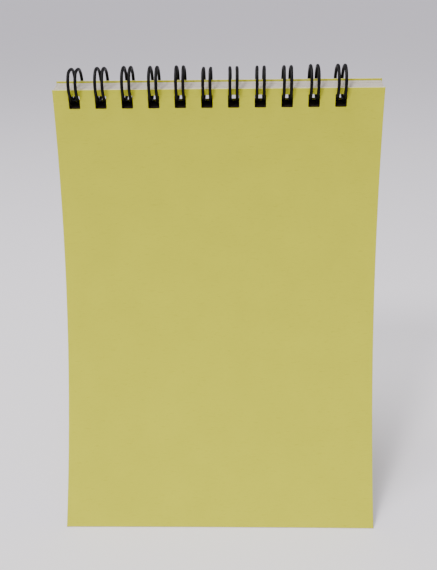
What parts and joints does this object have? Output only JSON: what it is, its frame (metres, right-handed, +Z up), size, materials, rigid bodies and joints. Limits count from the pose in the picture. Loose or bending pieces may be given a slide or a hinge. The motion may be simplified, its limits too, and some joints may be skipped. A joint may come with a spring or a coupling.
{
  "type": "sketchbook",
  "caption": "Pocket sketchbook with plain card covers and drawing sheets that turn over a black twin-loop wire along the short top edge.",
  "frame": {"origin": "bottom centre of the whole object's box, on the surface it stands on", "axes": "+Z up along the standing pad, +X to the right along the wire, -Y the way the front cover faces"},
  "size_m": [0.105, 0.0482, 0.148],
  "materials": {
    "cover_card": "matte",
    "drawing_paper": "matte",
    "binding_wire": "satin"
  },
  "bodies": {
    "back": {"back_cover": "cover_card", "binding_wire": "binding_wire"},
    "leaves_19_30": {"sheet_19": "drawing_paper", "sheet_20": "drawing_paper", "sheet_21": "drawing_paper", "sheet_22": "drawing_paper", "sheet_23": "drawing_paper", "sheet_24": "drawing_paper", "sheet_25": "drawing_paper", "sheet_26": "drawing_paper", "sheet_27": "drawing_paper", "sheet_28": "drawing_paper", "sheet_29": "drawing_paper", "sheet_30": "drawing_paper"},
    "leaves_10_18": {"sheet_10": "drawing_paper", "sheet_11": "drawing_paper", "sheet_12": "drawing_paper", "sheet_13": "drawing_paper", "sheet_14": "drawing_paper", "sheet_15": "drawing_paper", "sheet_16": "drawing_paper", "sheet_17": "drawing_paper", "sheet_18": "drawing_paper"},
    "leaves_04_09": {"sheet_04": "drawing_paper", "sheet_05": "drawing_paper", "sheet_06": "drawing_paper", "sheet_07": "drawing_paper", "sheet_08": "drawing_paper", "sheet_09": "drawing_paper"},
    "leaf_03": {"sheet_03": "drawing_paper"},
    "leaf_02": {"sheet_02": "drawing_paper"},
    "leaf_01": {"sheet_01": "drawing_paper"},
    "front_cover": {"front_cover": "cover_card"}
  },
  "joints": [
    {"name": "leaves_19_30_turn", "type": "hinge", "parent": "back", "child": "leaves_19_30", "pos_m": [0, 0.01835, 0.14229], "axis": [-1, 0, 0], "range_deg": [0, 180]},
    {"name": "leaves_10_18_turn", "type": "hinge", "parent": "leaves_19_30", "child": "leaves_10_18", "pos_m": [0, 0.01835, 0.14229], "axis": [-1, 0, 0], "range_deg": [0, 180]},
    {"name": "leaves_04_09_turn", "type": "hinge", "parent": "leaves_10_18", "child": "leaves_04_09", "pos_m": [0, 0.01835, 0.14229], "axis": [-1, 0, 0], "range_deg": [0, 180]},
    {"name": "leaf_03_turn", "type": "hinge", "parent": "leaves_04_09", "child": "leaf_03", "pos_m": [0, 0.01835, 0.14229], "axis": [-1, 0, 0], "range_deg": [0, 180]},
    {"name": "leaf_02_turn", "type": "hinge", "parent": "leaf_03", "child": "leaf_02", "pos_m": [0, 0.01835, 0.14229], "axis": [-1, 0, 0], "range_deg": [0, 180]},
    {"name": "leaf_01_turn", "type": "hinge", "parent": "leaf_02", "child": "leaf_01", "pos_m": [0, 0.01835, 0.14229], "axis": [-1, 0, 0], "range_deg": [0, 180]},
    {"name": "front_cover_turn", "type": "hinge", "parent": "leaf_01", "child": "front_cover", "pos_m": [0, 0.01835, 0.14229], "axis": [-1, 0, 0], "range_deg": [0, 180]}
  ]
}
